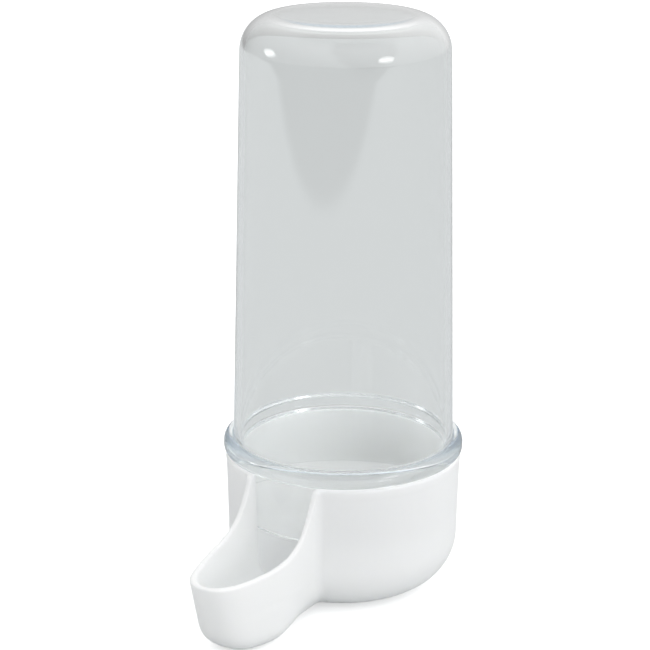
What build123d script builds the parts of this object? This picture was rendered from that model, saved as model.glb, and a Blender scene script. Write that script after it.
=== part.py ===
from build123d import *
import math
import os

# Fountain (siphon) drinker for cage birds, quail and small chicks.
# Two injection mouldings: a clear water tank that stands in a white base cup,
# and the base cup with one beak-shaped drinking spout.
# Frame: +Z up, origin at the centre of the base cup's flat underside,
# the spout points along -Y.

# ---------------------------------------------------------------- dimensions
# base cup
BASE_H = 41.0            # height of the cup's rim above the surface it stands on
BASE_R_RIM = 35.3        # outer radius at the rim
BASE_R_FOOT = 34.4       # outer radius that the wall would reach at the underside
BASE_FOOT_FILLET = 15.0  # large round between wall and underside
BASE_WALL = 1.7          # wall of the cup
BASE_FLOOR = 2.2         # floor of the cup
RIM_BAND_H = 3.2         # slightly proud band round the rim
RIM_BAND_T = 0.15
RIM_ROUND = 0.55

# drinking spout (plan shape: half widths at distances from the cup's axis)
SPOUT_LIP_Z = 24.0       # height of the lip at the tip
SPOUT_TIP = 74.8         # lip's distance from the axis
SPOUT_LEAN = 16.0        # how far the nose leans back, degrees
SPOUT_WALL = 1.7
SPOUT_FLOOR = 2.2
SPOUT_SIDE_DRAFT = 1.0   # degrees
SPOUT_NOSE_ROUND = 9.3   # round between nose and underside
SPOUT_SIDE_ROUND = [(40.0, 10.0), (46.0, 8.0), (56.0, 5.5), (90.0, 5.5)]  # the same along the sides
SPOUT_JOIN_ROUND = 4.0   # concave round where the spout leaves the cup
SPOUT_WIDE = 12.2        # half width at the widest place
SPOUT_PLAN = [(20.0, 11.6), (39.0, 11.8), (46.0, 12.2), (53.0, 11.9), (59.0, 10.9), (65.0, 9.4),
              (70.0, 7.6), (73.0, 5.4), (74.4, 3.0), (74.8, 0.0)]
SPOUT_RIM = [(33.0, 45.5), (34.2, 41.0), (36.2, 36.6), (38.9, 32.0), (41.8, 28.8), (44.6, 27.0), (47.5, 25.8), (50.4, 25.1),
             (54.0, 24.6), (59.0, 24.2), (65.0, 24.05), (72.0, 24.0), (80.0, 24.0), (90.0, 24.0)]

# water tank
GAP = 0.1                # the collar's underside stands this far above the rim
COLLAR_R = 36.0
COLLAR_H = 5.0
COLLAR_TOP_ROUND = 2.3
COLLAR_LOW_ROUND = 1.7
TUBE_R_LOW = 33.0        # outer radius just above the collar
TUBE_R_TOP = 30.0        # outer radius that the tube would reach at the closed end
TUBE_H = 126.0           # collar's top to closed end
TUBE_WALL = 1.5
TUBE_END = 1.8
NECK_ROUND = 0.5          # concave round between tube and collar
SHOULDER_R = 10.4        # outer round between tube and closed end
SKIRT_R_TOP = 33.1       # skirt below the collar, inside the cup
SKIRT_R_LOW = 32.9
SKIRT_WALL = 1.3
SKIRT_LOW_Z = 23.2       # lower edge of the skirt: the air inlet that sets the water level
SKIRT_EDGE_ROUND = 0.45

COLLAR_Z0 = BASE_H + GAP
COLLAR_Z1 = COLLAR_Z0 + COLLAR_H
TANK_TOP = COLLAR_Z1 + TUBE_H

os.makedirs("parts", exist_ok=True)

# ------------------------------------------------------------- drinker_base
def cup_radius(z):
    """Outer radius of the cup at height z."""
    wall = BASE_R_FOOT + (BASE_R_RIM - BASE_R_FOOT) * z / BASE_H
    if z >= BASE_FOOT_FILLET:
        return wall
    return wall - BASE_FOOT_FILLET + math.sqrt(BASE_FOOT_FILLET**2 - (BASE_FOOT_FILLET - z) ** 2)


def between(table, x):
    """Straight-line value of a table of (x, y) at x."""
    for (x0, y0), (x1, y1) in zip(table, table[1:]):
        if x <= x1:
            return y0 + (y1 - y0) * (max(x, x0) - x0) / (x1 - x0)
    return table[-1][1]


def round_inset(radius, z):
    """How far a bottom round of this radius stands back at height z."""
    return radius - math.sqrt(radius**2 - (radius - z) ** 2) if z < radius else 0.0


def spout_half(z, wall, root):
    """Points (across, along) of half the plan outline at height z, from the root to the nose.

    wall is 0 for the outside, and the wall's thickness for the inside, whose floor is higher.
    """
    up = z - SPOUT_FLOOR if wall else z
    down = SPOUT_LIP_Z - z
    nose = SPOUT_TIP - down * math.tan(math.radians(SPOUT_LEAN)) - round_inset(SPOUT_NOSE_ROUND, up) - wall
    draft = down * math.tan(math.radians(SPOUT_SIDE_DRAFT))
    pts = []
    table = [(root, between(SPOUT_PLAN, root)), ((root + 46.0) / 2, between(SPOUT_PLAN, (root + 46.0) / 2))]
    for s, w in table + [p for p in SPOUT_PLAN if p[0] >= 46.0]:
        back = draft + round_inset(between(SPOUT_SIDE_ROUND, s), up)
        along = s if s <= 46.0 else 46.0 + (s - 46.0) * (nose - 46.0) / (SPOUT_TIP - 46.0)
        across = w * (1 - back / SPOUT_WIDE)
        if wall and w:
            across -= wall * min(1.0, 0.35 + w / 9.0)
        pts.append((across, along))
    return pts


def outline_sketch(z, wall, flared):
    """One plan section of the spout. A flared one has concave rounds at its roots."""
    with BuildSketch(Plane.XY.offset(z)) as section:
        with BuildLine():
            root = 20.0
            if flared:
                side_w = spout_half(z, wall, 33.0)[0][0]
                cw = side_w + SPOUT_JOIN_ROUND
                reach = cup_radius(z) + SPOUT_JOIN_ROUND - 0.3
                root = math.sqrt(reach**2 - cw**2)
            half = spout_half(z, wall, root)
            if flared:
                half[0] = (side_w, root)
            right = [(w, -s) for w, s in half]
            left = [(-w, -s) for w, s in half[-2::-1]]
            Spline(*(right + left), tangents=[(0, -1), (0, 1)])
            if flared:
                deep_w = cw - SPOUT_JOIN_ROUND * cw / reach
                deep_s = root - SPOUT_JOIN_ROUND * root / reach
                mid_w, mid_s = (side_w + deep_w) / 2 - cw, (root + deep_s) / 2 - root
                n = SPOUT_JOIN_ROUND / math.hypot(mid_w, mid_s)
                ThreePointArc((deep_w, -deep_s), (cw + mid_w * n, -root - mid_s * n), right[0])
                ThreePointArc(left[-1], (-cw - mid_w * n, -root - mid_s * n), (-deep_w, -deep_s))
                Line((-deep_w, -deep_s), (deep_w, -deep_s))
            else:
                Line(left[-1], right[0])
        make_face()
    return section.sketch


with BuildPart() as spout_outside:
    # solid bullet-shaped plan, up to the rim, whose nose leans back
    loft([outline_sketch(z, 0.0, True) for z in (0.0, 0.4, 1.3, 2.8, 5.0, 7.5, 10.0, 12.5, 15.0)])
    loft([outline_sketch(15.0, 0.0, True), outline_sketch(BASE_H - 0.4, 0.0, True)], ruled=True)
    split(bisect_by=Plane.XY, keep=Keep.TOP)

with BuildPart() as spout_inside:
    loft([outline_sketch(SPOUT_FLOOR + z, SPOUT_WALL, False) for z in (0.0, 0.4, 1.3, 2.8, 5.0, 7.5, 10.0)])
    loft([outline_sketch(SPOUT_FLOOR + 10.0, SPOUT_WALL, False), outline_sketch(BASE_H + 2.0, SPOUT_WALL, False)], ruled=True)

with BuildPart() as spout_trim:
    # everything above the spout's swept-down rim
    with BuildSketch(Plane.YZ):
        with BuildLine():
            rim_line = [(-s, z) for s, z in SPOUT_RIM]
            Spline(*rim_line)
            Polyline(rim_line[-1], (rim_line[-1][0], BASE_H + 6.0), (rim_line[0][0], BASE_H + 6.0), rim_line[0])
        make_face()
    extrude(amount=18.0, both=True)

with BuildPart() as drinker_base:
    # outside of the cup, solid for now
    with BuildSketch(Plane.XZ) as cup_outside:
        band_r = BASE_R_RIM - (BASE_R_RIM - BASE_R_FOOT) * RIM_BAND_H / BASE_H
        with BuildLine():
            Polyline(
                (0, 0),
                (BASE_R_FOOT, 0),
                (band_r, BASE_H - RIM_BAND_H),
                (band_r + RIM_BAND_T, BASE_H - RIM_BAND_H + 0.5),
                (BASE_R_RIM + RIM_BAND_T, BASE_H),
                (0, BASE_H),
                close=True,
            )
        make_face()
        fillet(cup_outside.vertices().group_by(Axis.Y)[0].sort_by(Axis.X)[-1:], BASE_FOOT_FILLET)
        fillet(cup_outside.vertices().group_by(Axis.Y)[-1].sort_by(Axis.X)[-1:], RIM_ROUND)
    revolve(axis=Axis.Z)
    add(spout_outside.part)
    # inside of the cup
    with BuildSketch(Plane.XZ) as cup_inside:
        with BuildLine():
            Polyline(
                (0, BASE_FLOOR),
                (BASE_R_FOOT - BASE_WALL + (BASE_R_RIM - BASE_R_FOOT) * BASE_FLOOR / BASE_H, BASE_FLOOR),
                (BASE_R_RIM - BASE_WALL + 0.05, BASE_H + 1.0),
                (0, BASE_H + 1.0),
                close=True,
            )
        make_face()
        fillet(cup_inside.vertices().group_by(Axis.Y)[0].sort_by(Axis.X)[-1:], BASE_FOOT_FILLET - BASE_WALL)
    revolve(axis=Axis.Z, mode=Mode.SUBTRACT)
    add(spout_inside.part, mode=Mode.SUBTRACT)
    add(spout_trim.part, mode=Mode.SUBTRACT)

# --------------------------------------------------------------- water_tank
with BuildPart() as water_tank:
    # half section of the wall, from the closed end down to the skirt's lower edge, turned round the axis
    with BuildSketch(Plane.XZ) as tank_wall:
        with BuildLine():
            Polyline(
                (0, TANK_TOP - TUBE_END),
                (TUBE_R_TOP - TUBE_WALL, TANK_TOP - TUBE_END),
                (SKIRT_R_LOW - SKIRT_WALL, SKIRT_LOW_Z),
                (SKIRT_R_LOW, SKIRT_LOW_Z),
                (SKIRT_R_TOP, COLLAR_Z0),
                (COLLAR_R, COLLAR_Z0),
                (COLLAR_R, COLLAR_Z1),
                (TUBE_R_LOW, COLLAR_Z1),
                (TUBE_R_TOP, TANK_TOP),
                (0, TANK_TOP),
                close=True,
            )
        make_face()

        def corner(x, z):
            """The sketch's corner at radius x and height z."""
            return tank_wall.vertices().sort_by_distance((x, z, 0))[0]

        fillet(corner(TUBE_R_TOP, TANK_TOP), SHOULDER_R)
        fillet(corner(TUBE_R_TOP - TUBE_WALL, TANK_TOP - TUBE_END), SHOULDER_R - TUBE_WALL)
        fillet(corner(COLLAR_R, COLLAR_Z1), COLLAR_TOP_ROUND)
        fillet(corner(COLLAR_R, COLLAR_Z0), COLLAR_LOW_ROUND)
        fillet(corner(TUBE_R_LOW, COLLAR_Z1), NECK_ROUND)
        fillet(corner(SKIRT_R_LOW, SKIRT_LOW_Z), SKIRT_EDGE_ROUND)
        fillet(corner(SKIRT_R_LOW - SKIRT_WALL, SKIRT_LOW_Z), SKIRT_EDGE_ROUND)
    revolve(axis=Axis.Z)

drinker_base.part.label = "drinker_base"
water_tank.part.label = "water_tank"
export_step(drinker_base.part, "parts/drinker_base.step")
export_step(water_tank.part, "parts/water_tank.step")
for built in (drinker_base, water_tank):
    box = built.part.bounding_box()
    print(built.part.label, len(built.solids()), "solid, volume", round(built.part.volume), "mm3, box", box.min, box.max)
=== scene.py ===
import math

import bmesh
import bpy
import numpy as np
from mathutils import Matrix, Vector


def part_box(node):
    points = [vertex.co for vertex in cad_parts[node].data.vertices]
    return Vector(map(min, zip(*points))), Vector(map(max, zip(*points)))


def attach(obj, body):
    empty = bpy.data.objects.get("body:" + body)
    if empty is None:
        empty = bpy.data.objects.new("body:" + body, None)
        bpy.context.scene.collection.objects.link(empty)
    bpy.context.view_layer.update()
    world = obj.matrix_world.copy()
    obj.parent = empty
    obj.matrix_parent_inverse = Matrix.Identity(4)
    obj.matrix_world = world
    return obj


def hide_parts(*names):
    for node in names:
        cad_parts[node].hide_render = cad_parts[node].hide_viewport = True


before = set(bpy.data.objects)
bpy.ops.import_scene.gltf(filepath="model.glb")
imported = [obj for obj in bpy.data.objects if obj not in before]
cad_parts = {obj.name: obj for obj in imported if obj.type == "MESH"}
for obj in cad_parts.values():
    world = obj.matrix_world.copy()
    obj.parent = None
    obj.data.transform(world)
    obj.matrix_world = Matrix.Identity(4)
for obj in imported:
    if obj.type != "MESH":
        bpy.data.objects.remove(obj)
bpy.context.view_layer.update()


scene = bpy.context.scene
MM = 0.001

# ------------------------------------------------------------------ helpers


def rounded(points, radii, steps=10):
    """Closed or open outline with an arc at each corner that has a radius."""
    out = []
    n = len(points)
    for i in range(n):
        p = Vector(points[i])
        r = radii[i]
        if not r:
            out.append((p.x, p.y))
            continue
        a = (Vector(points[i - 1]) - p).normalized()
        b = (Vector(points[(i + 1) % n]) - p).normalized()
        half = a.angle(b) / 2
        reach = r / math.tan(half)
        centre = p + (a + b).normalized() * (r / math.sin(half))
        start, end = p + a * reach - centre, p + b * reach - centre
        turn = start.angle(end)
        sign = 1 if start.x * end.y - start.y * end.x > 0 else -1
        for k in range(steps + 1):
            t = sign * turn * k / steps
            q = Vector((start.x * math.cos(t) - start.y * math.sin(t), start.x * math.sin(t) + start.y * math.cos(t)))
            out.append((centre.x + q.x, centre.y + q.y))
    return out


def divided(profile, longest):
    """The same outline with long straight runs cut into shorter ones."""
    out = [profile[0]]
    for (x0, y0), (x1, y1) in zip(profile, profile[1:]):
        n = max(1, int(math.ceil(math.hypot(x1 - x0, y1 - y0) / longest)))
        out += [(x0 + (x1 - x0) * k / n, y0 + (y1 - y0) * k / n) for k in range(1, n + 1)]
    return out


def turned(name, profile, segments):
    """A mesh turned round Z from an outline (radius, height) in mm that starts and ends on the axis."""
    verts, rows = [], []
    for r, z in profile:
        if r < 1e-6:
            rows.append([len(verts)])
            verts.append((0.0, 0.0, z * MM))
        else:
            rows.append(list(range(len(verts), len(verts) + segments)))
            for k in range(segments):
                a = 2 * math.pi * k / segments
                verts.append((r * math.cos(a) * MM, r * math.sin(a) * MM, z * MM))
    faces = []
    for lower, upper in zip(rows, rows[1:]):
        for k in range(segments):
            j = (k + 1) % segments
            if len(lower) == 1:
                faces.append((lower[0], upper[j], upper[k]))
            elif len(upper) == 1:
                faces.append((lower[k], lower[j], upper[0]))
            else:
                faces.append((lower[k], lower[j], upper[j], upper[k]))
    mesh = bpy.data.meshes.new(name)
    mesh.from_pydata(verts, [], faces)
    bm = bmesh.new()
    bm.from_mesh(mesh)
    bmesh.ops.recalc_face_normals(bm, faces=bm.faces)
    bm.to_mesh(mesh)
    bm.free()
    obj = bpy.data.objects.new(name, mesh)
    scene.collection.objects.link(obj)
    for p in mesh.polygons:
        p.use_smooth = True
    return obj


def node(nt, kind, **values):
    n = nt.nodes.new(kind)
    for key, value in values.items():
        setattr(n, key, value)
    return n


# ---------------------------------------------------------------- materials


def white_plastic():
    m = bpy.data.materials.new("white_polypropylene")
    m.use_nodes = True
    nt = m.node_tree
    b = nt.nodes["Principled BSDF"]
    b.inputs["IOR"].default_value = 1.49
    b.inputs["Subsurface Weight"].default_value = 0.85
    b.inputs["Subsurface Radius"].default_value = (1.0, 1.0, 0.95)
    b.inputs["Subsurface Scale"].default_value = 0.004
    b.inputs["Coat Weight"].default_value = 0.0
    where = node(nt, "ShaderNodeTexCoord")
    # slow clouding of the moulding
    cloud = node(nt, "ShaderNodeTexNoise")
    cloud.inputs["Scale"].default_value = 55.0
    cloud.inputs["Detail"].default_value = 3.0
    nt.links.new(where.outputs["Object"], cloud.inputs["Vector"])
    tone = node(nt, "ShaderNodeValToRGB")
    tone.color_ramp.elements[0].position = 0.3
    tone.color_ramp.elements[0].color = (*WHITE_LOW, 1)
    tone.color_ramp.elements[1].position = 0.7
    tone.color_ramp.elements[1].color = (*WHITE_HIGH, 1)
    nt.links.new(cloud.outputs["Fac"], tone.inputs["Fac"])
    nt.links.new(tone.outputs["Color"], b.inputs["Base Color"])
    # gloss that varies a little over the surface
    gloss = node(nt, "ShaderNodeTexNoise")
    gloss.inputs["Scale"].default_value = 140.0
    gloss.inputs["Detail"].default_value = 4.0
    nt.links.new(where.outputs["Object"], gloss.inputs["Vector"])
    rough = node(nt, "ShaderNodeMapRange")
    rough.inputs["From Min"].default_value = 0.3
    rough.inputs["From Max"].default_value = 0.7
    rough.inputs["To Min"].default_value = 0.30
    rough.inputs["To Max"].default_value = 0.40
    nt.links.new(gloss.outputs["Fac"], rough.inputs["Value"])
    nt.links.new(rough.outputs["Result"], b.inputs["Roughness"])
    # moulded skin: long shallow waves and a fine grain
    wave = node(nt, "ShaderNodeTexNoise")
    wave.inputs["Scale"].default_value = 90.0
    wave.inputs["Detail"].default_value = 2.0
    nt.links.new(where.outputs["Object"], wave.inputs["Vector"])
    grain = node(nt, "ShaderNodeTexNoise")
    grain.inputs["Scale"].default_value = 2600.0
    grain.inputs["Detail"].default_value = 3.0
    nt.links.new(where.outputs["Object"], grain.inputs["Vector"])
    bump1 = node(nt, "ShaderNodeBump")
    bump1.inputs["Strength"].default_value = 0.35
    bump1.inputs["Distance"].default_value = 0.00012
    nt.links.new(wave.outputs["Fac"], bump1.inputs["Height"])
    bump2 = node(nt, "ShaderNodeBump")
    bump2.inputs["Strength"].default_value = 0.12
    bump2.inputs["Distance"].default_value = 0.00002
    nt.links.new(grain.outputs["Fac"], bump2.inputs["Height"])
    nt.links.new(bump1.outputs["Normal"], bump2.inputs["Normal"])
    nt.links.new(bump2.outputs["Normal"], b.inputs["Normal"])
    return m


def clear_plastic():
    m = bpy.data.materials.new("clear_polystyrene")
    m.use_nodes = True
    nt = m.node_tree
    b = nt.nodes["Principled BSDF"]
    out = nt.nodes["Material Output"]
    b.inputs["Base Color"].default_value = (*CLEAR_TINT, 1)
    b.inputs["Transmission Weight"].default_value = 1.0
    b.inputs["IOR"].default_value = 1.57
    where = node(nt, "ShaderNodeTexCoord")
    # faint flow waves, longer along the tube than round it
    flow = node(nt, "ShaderNodeMapping")
    flow.inputs["Scale"].default_value = (1.0, 1.0, 0.25)
    nt.links.new(where.outputs["Object"], flow.inputs["Vector"])
    wave = node(nt, "ShaderNodeTexNoise")
    wave.inputs["Scale"].default_value = 70.0
    wave.inputs["Detail"].default_value = 2.0
    nt.links.new(flow.outputs["Vector"], wave.inputs["Vector"])
    bump = node(nt, "ShaderNodeBump")
    bump.inputs["Strength"].default_value = 0.25
    bump.inputs["Distance"].default_value = 0.00006
    nt.links.new(wave.outputs["Fac"], bump.inputs["Height"])
    nt.links.new(bump.outputs["Normal"], b.inputs["Normal"])
    # handling haze: gloss falls off a little in patches
    haze = node(nt, "ShaderNodeTexNoise")
    haze.inputs["Scale"].default_value = 160.0
    haze.inputs["Detail"].default_value = 5.0
    nt.links.new(where.outputs["Object"], haze.inputs["Vector"])
    rough = node(nt, "ShaderNodeMapRange")
    rough.inputs["From Min"].default_value = 0.35
    rough.inputs["From Max"].default_value = 0.75
    rough.inputs["To Min"].default_value = 0.015
    rough.inputs["To Max"].default_value = 0.05
    nt.links.new(haze.outputs["Fac"], rough.inputs["Value"])
    nt.links.new(rough.outputs["Result"], b.inputs["Roughness"])
    # light from the lamps passes the walls
    through = node(nt, "ShaderNodeBsdfTransparent")
    through.inputs["Color"].default_value = (*LAMP_TINT, 1)
    path = node(nt, "ShaderNodeLightPath")
    mix = node(nt, "ShaderNodeMixShader")
    nt.links.new(path.outputs["Is Shadow Ray"], mix.inputs[0])
    nt.links.new(b.outputs["BSDF"], mix.inputs[1])
    nt.links.new(through.outputs["BSDF"], mix.inputs[2])
    nt.links.new(mix.outputs["Shader"], out.inputs["Surface"])
    absorb = node(nt, "ShaderNodeVolumeAbsorption")
    absorb.inputs["Color"].default_value = (*DEPTH_TINT, 1)
    absorb.inputs["Density"].default_value = DEPTH_DENSITY
    nt.links.new(absorb.outputs["Volume"], out.inputs["Volume"])
    return m


WHITE_LOW = (0.92, 0.938, 0.934)
WHITE_HIGH = (0.94, 0.952, 0.948)
CLEAR_TINT = (0.98, 0.985, 0.98)
LAMP_TINT = (1.0, 1.0, 1.0)
DEPTH_TINT = (0.10, 0.60, 0.95)
DEPTH_DENSITY = 4.0

# --------------------------------------------------------------- water tank
tank_low, tank_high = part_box("water_tank")
base_low, base_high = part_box("drinker_base")
TOP = tank_high.z / MM
COLLAR_R = 35.99
RIM = base_high.z / MM
Z0, Z1 = RIM + 0.1, RIM + 5.1
SKIRT = tank_low.z / MM
section = [
    ((0, TOP - 1.8), 0),
    ((28.5, TOP - 1.8), 8.9),
    ((31.6, SKIRT), 0.45),
    ((32.9, SKIRT), 0.45),
    ((33.1, Z0), 0.25),
    ((COLLAR_R, Z0), 1.7),
    ((COLLAR_R, Z1), 2.3),
    ((33.0, Z1), 0.5),
    ((30.0, TOP), 10.4),
    ((0, TOP), 0),
]
profile = rounded([p for p, r in section], [r for p, r in section], steps=14)
tank = turned("clear_tank", divided(profile, 4.0), 256)
clear = clear_plastic()
tank.data.materials.append(clear)
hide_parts("water_tank")
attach(tank, "tank")

# -------------------------------------------------------------- white base
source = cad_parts["drinker_base"]
mesh = source.data.copy()
base = bpy.data.objects.new("white_base", mesh)
scene.collection.objects.link(base)
bm = bmesh.new()
bm.from_mesh(mesh)
bmesh.ops.remove_doubles(bm, verts=bm.verts, dist=1e-7)
bm.to_mesh(mesh)
bm.free()
VOXEL = 0.00036
remesh = base.modifiers.new("skin", "REMESH")
remesh.mode = "VOXEL"
remesh.voxel_size = VOXEL
smooth = base.modifiers.new("soft_edges", "SMOOTH")
smooth.factor = 0.5
smooth.iterations = 10
bpy.context.view_layer.update()
done = bpy.data.meshes.new_from_object(base.evaluated_get(bpy.context.evaluated_depsgraph_get()))
base.modifiers.clear()
base.data = done
base.data.materials.clear()
white = white_plastic()
base.data.materials.append(white)
for p in base.data.polygons:
    p.use_smooth = True
print("base faces", len(base.data.polygons), "tank faces", len(tank.data.polygons))
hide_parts("drinker_base")
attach(base, "base")

# ------------------------------------------------------------------- stage
floor_mesh = bpy.data.meshes.new("floor")
floor_bm = bmesh.new()
bmesh.ops.create_circle(floor_bm, cap_ends=True, radius=6.0, segments=96)
floor_bm.to_mesh(floor_mesh)
floor_bm.free()
floor = bpy.data.objects.new("floor", floor_mesh)
scene.collection.objects.link(floor)
floor.location.z = -0.0002
paper = bpy.data.materials.new("pale_floor")
paper.use_nodes = True
pt = paper.node_tree
pt.nodes.remove(pt.nodes["Principled BSDF"])
# pale grey sweep for the light it gives back, shown overexposed to white as in a product picture
grey = node(pt, "ShaderNodeBsdfDiffuse")
# painted shade: past the sweep's front edge the floor is painted near black, seen only in reflections, standing in
# for the unlit room beyond
ground = node(pt, "ShaderNodeTexCoord")
front = node(pt, "ShaderNodeVectorMath", operation="DOT_PRODUCT")
front.inputs[1].default_value = (0.139, -0.990, 0.0)
pt.links.new(ground.outputs["Object"], front.inputs[0])
past = node(pt, "ShaderNodeMapRange", interpolation_type="SMOOTHSTEP")
past.inputs["From Min"].default_value = 0.57
past.inputs["From Max"].default_value = 0.63
pt.links.new(front.outputs["Value"], past.inputs["Value"])
bounce = node(pt, "ShaderNodeLightPath")
mirrored = node(pt, "ShaderNodeMath", operation="MINIMUM")
mirrored.inputs[1].default_value = 1.0
pt.links.new(bounce.outputs["Glossy Depth"], mirrored.inputs[0])
painted_shade_mask = node(pt, "ShaderNodeMath", operation="MULTIPLY")
pt.links.new(past.outputs["Result"], painted_shade_mask.inputs[0])
pt.links.new(mirrored.outputs["Value"], painted_shade_mask.inputs[1])
# pale grey floor, with a near-black second stop that is the painted shade of the unlit room
sweep = node(pt, "ShaderNodeValToRGB")
sweep.color_ramp.elements[0].color = (0.635, 0.65, 0.655, 1)
sweep.color_ramp.elements[1].color = (0.03, 0.03, 0.03, 1)
pt.links.new(painted_shade_mask.outputs["Value"], sweep.inputs["Fac"])
pt.links.new(sweep.outputs["Color"], grey.inputs["Color"])
pale = node(pt, "ShaderNodeBsdfDiffuse")
pale.inputs["Color"].default_value = (0.9, 0.9, 0.9, 1)
glow = node(pt, "ShaderNodeEmission")
glow.inputs["Color"].default_value = (1, 1, 1, 1)
glow.inputs["Strength"].default_value = 0.45
both = node(pt, "ShaderNodeAddShader")
pt.links.new(pale.outputs["BSDF"], both.inputs[0])
pt.links.new(glow.outputs["Emission"], both.inputs[1])
seen = node(pt, "ShaderNodeLightPath")
choose = node(pt, "ShaderNodeMixShader")
pt.links.new(seen.outputs["Is Camera Ray"], choose.inputs[0])
pt.links.new(grey.outputs["BSDF"], choose.inputs[1])
pt.links.new(both.outputs["Shader"], choose.inputs[2])
pt.links.new(choose.outputs["Shader"], pt.nodes["Material Output"].inputs["Surface"])
floor.data.materials.append(paper)

# soft light from all round, a little stronger from above and behind
world = bpy.data.worlds.new("studio")
scene.world = world
world.use_nodes = True
wt = world.node_tree
bg = wt.nodes["Background"]
wc = node(wt, "ShaderNodeTexCoord")
# brighter above and on the right of the object, darker on its left
lean = node(wt, "ShaderNodeVectorMath", operation="DOT_PRODUCT")
lean.inputs[1].default_value = (0.20, 0.14, 0.60)
wt.links.new(wc.outputs["Generated"], lean.inputs[0])
up = node(wt, "ShaderNodeMapRange")
up.inputs["From Min"].default_value = -0.1
up.inputs["From Max"].default_value = 0.6
up.inputs["To Min"].default_value = 0.33
up.inputs["To Max"].default_value = 1.25
wt.links.new(lean.outputs["Value"], up.inputs["Value"])
# the ceiling right overhead is dimmer
axes = node(wt, "ShaderNodeSeparateXYZ")
wt.links.new(wc.outputs["Generated"], axes.inputs["Vector"])
ceiling = node(wt, "ShaderNodeMapRange", interpolation_type="SMOOTHSTEP")
ceiling.inputs["From Min"].default_value = 0.78
ceiling.inputs["From Max"].default_value = 0.98
ceiling.inputs["To Min"].default_value = 1.0
ceiling.inputs["To Max"].default_value = 0.7
wt.links.new(axes.outputs["Z"], ceiling.inputs["Value"])
level = node(wt, "ShaderNodeMath", operation="MULTIPLY")
wt.links.new(up.outputs["Result"], level.inputs[0])
wt.links.new(ceiling.outputs["Result"], level.inputs[1])
shade = node(wt, "ShaderNodeCombineColor")
for channel in ("Red", "Green", "Blue"):
    wt.links.new(level.outputs["Value"], shade.inputs[channel])
wt.links.new(shade.outputs["Color"], bg.inputs["Color"])
bg.inputs["Strength"].default_value = 1.14
plain = node(wt, "ShaderNodeBackground")
plain.inputs["Color"].default_value = (1, 1, 1, 1)
plain.inputs["Strength"].default_value = 1.05
look = node(wt, "ShaderNodeLightPath")
pick = node(wt, "ShaderNodeMixShader")
wt.links.new(look.outputs["Is Camera Ray"], pick.inputs[0])
wt.links.new(bg.outputs["Background"], pick.inputs[1])
wt.links.new(plain.outputs["Background"], pick.inputs[2])
wt.links.new(pick.outputs["Shader"], wt.nodes["World Output"].inputs["Surface"])


def softbox(name, direction, distance, size, power, aim=(0, 0, 0.09)):
    data = bpy.data.lights.new(name, "AREA")
    data.shape = "ELLIPSE"
    data.size, data.size_y = size
    data.energy = power
    lamp = bpy.data.objects.new(name, data)
    scene.collection.objects.link(lamp)
    place = Vector(aim) + Vector(direction).normalized() * distance
    lamp.location = place
    lamp.rotation_euler = (place - Vector(aim)).to_track_quat("Z", "Y").to_euler()
    return lamp


def heading(azimuth, elevation):
    """Direction at an azimuth in degrees from -Y towards +X, and an elevation."""
    a, e = math.radians(azimuth), math.radians(elevation)
    return (math.sin(a) * math.cos(e), -math.cos(a) * math.cos(e), math.sin(e))


softbox("key_right", heading(76, 18), 1.6, (0.48, 0.42), 2.2)
softbox("key_left", heading(-61, 16), 1.6, (0.44, 0.38), 1.75)

# ------------------------------------------------------------------ camera
VIEW_F = 2000.0  # focal length in units of a 650 wide frame
psi, phi, rho = -0.009685062830911967, 0.31621029062980155, 0.0033793693246642366
turn = Matrix.Rotation(math.radians(31.0), 3, "Z")
fw = Vector((math.sin(psi) * math.cos(phi), math.cos(psi) * math.cos(phi), -math.sin(phi)))
right = fw.cross(Vector((0, 0, 1))).normalized()
upv = right.cross(fw)
fw = (fw - right * (0.5 / VIEW_F) + upv * (0.5 / VIEW_F)).normalized()
right = fw.cross(Vector((0, 0, 1))).normalized()
upv = right.cross(fw)
x_axis = right * math.cos(rho) + upv * math.sin(rho)
y_axis = upv * math.cos(rho) - right * math.sin(rho)
unit = 0.036
place = turn @ Vector((0, -15.657127818833112 * unit, 6.046488005958282 * unit)) + Vector((0, 0, 0.0461))
cam_data = bpy.data.cameras.new("camera")
cam_data.sensor_width = 36.0
cam_data.lens = VIEW_F / 650 * 36.0
cam_data.clip_end = 50.0
cam_data.clip_start = 0.01
cam = bpy.data.objects.new("camera", cam_data)
scene.collection.objects.link(cam)
x_axis, y_axis, back = turn @ x_axis, turn @ y_axis, turn @ (-fw)
cam.matrix_world = Matrix(
    (
        (x_axis.x, y_axis.x, back.x, place.x),
        (x_axis.y, y_axis.y, back.y, place.y),
        (x_axis.z, y_axis.z, back.z, place.z),
        (0, 0, 0, 1),
    )
)
scene.camera = cam

scene.view_settings.view_transform = "Standard"
scene.view_settings.look = "None"
scene.cycles.max_bounces = 40
scene.cycles.transmission_bounces = 40
scene.cycles.transparent_max_bounces = 16
scene.cycles.diffuse_bounces = 8
scene.cycles.glossy_bounces = 40
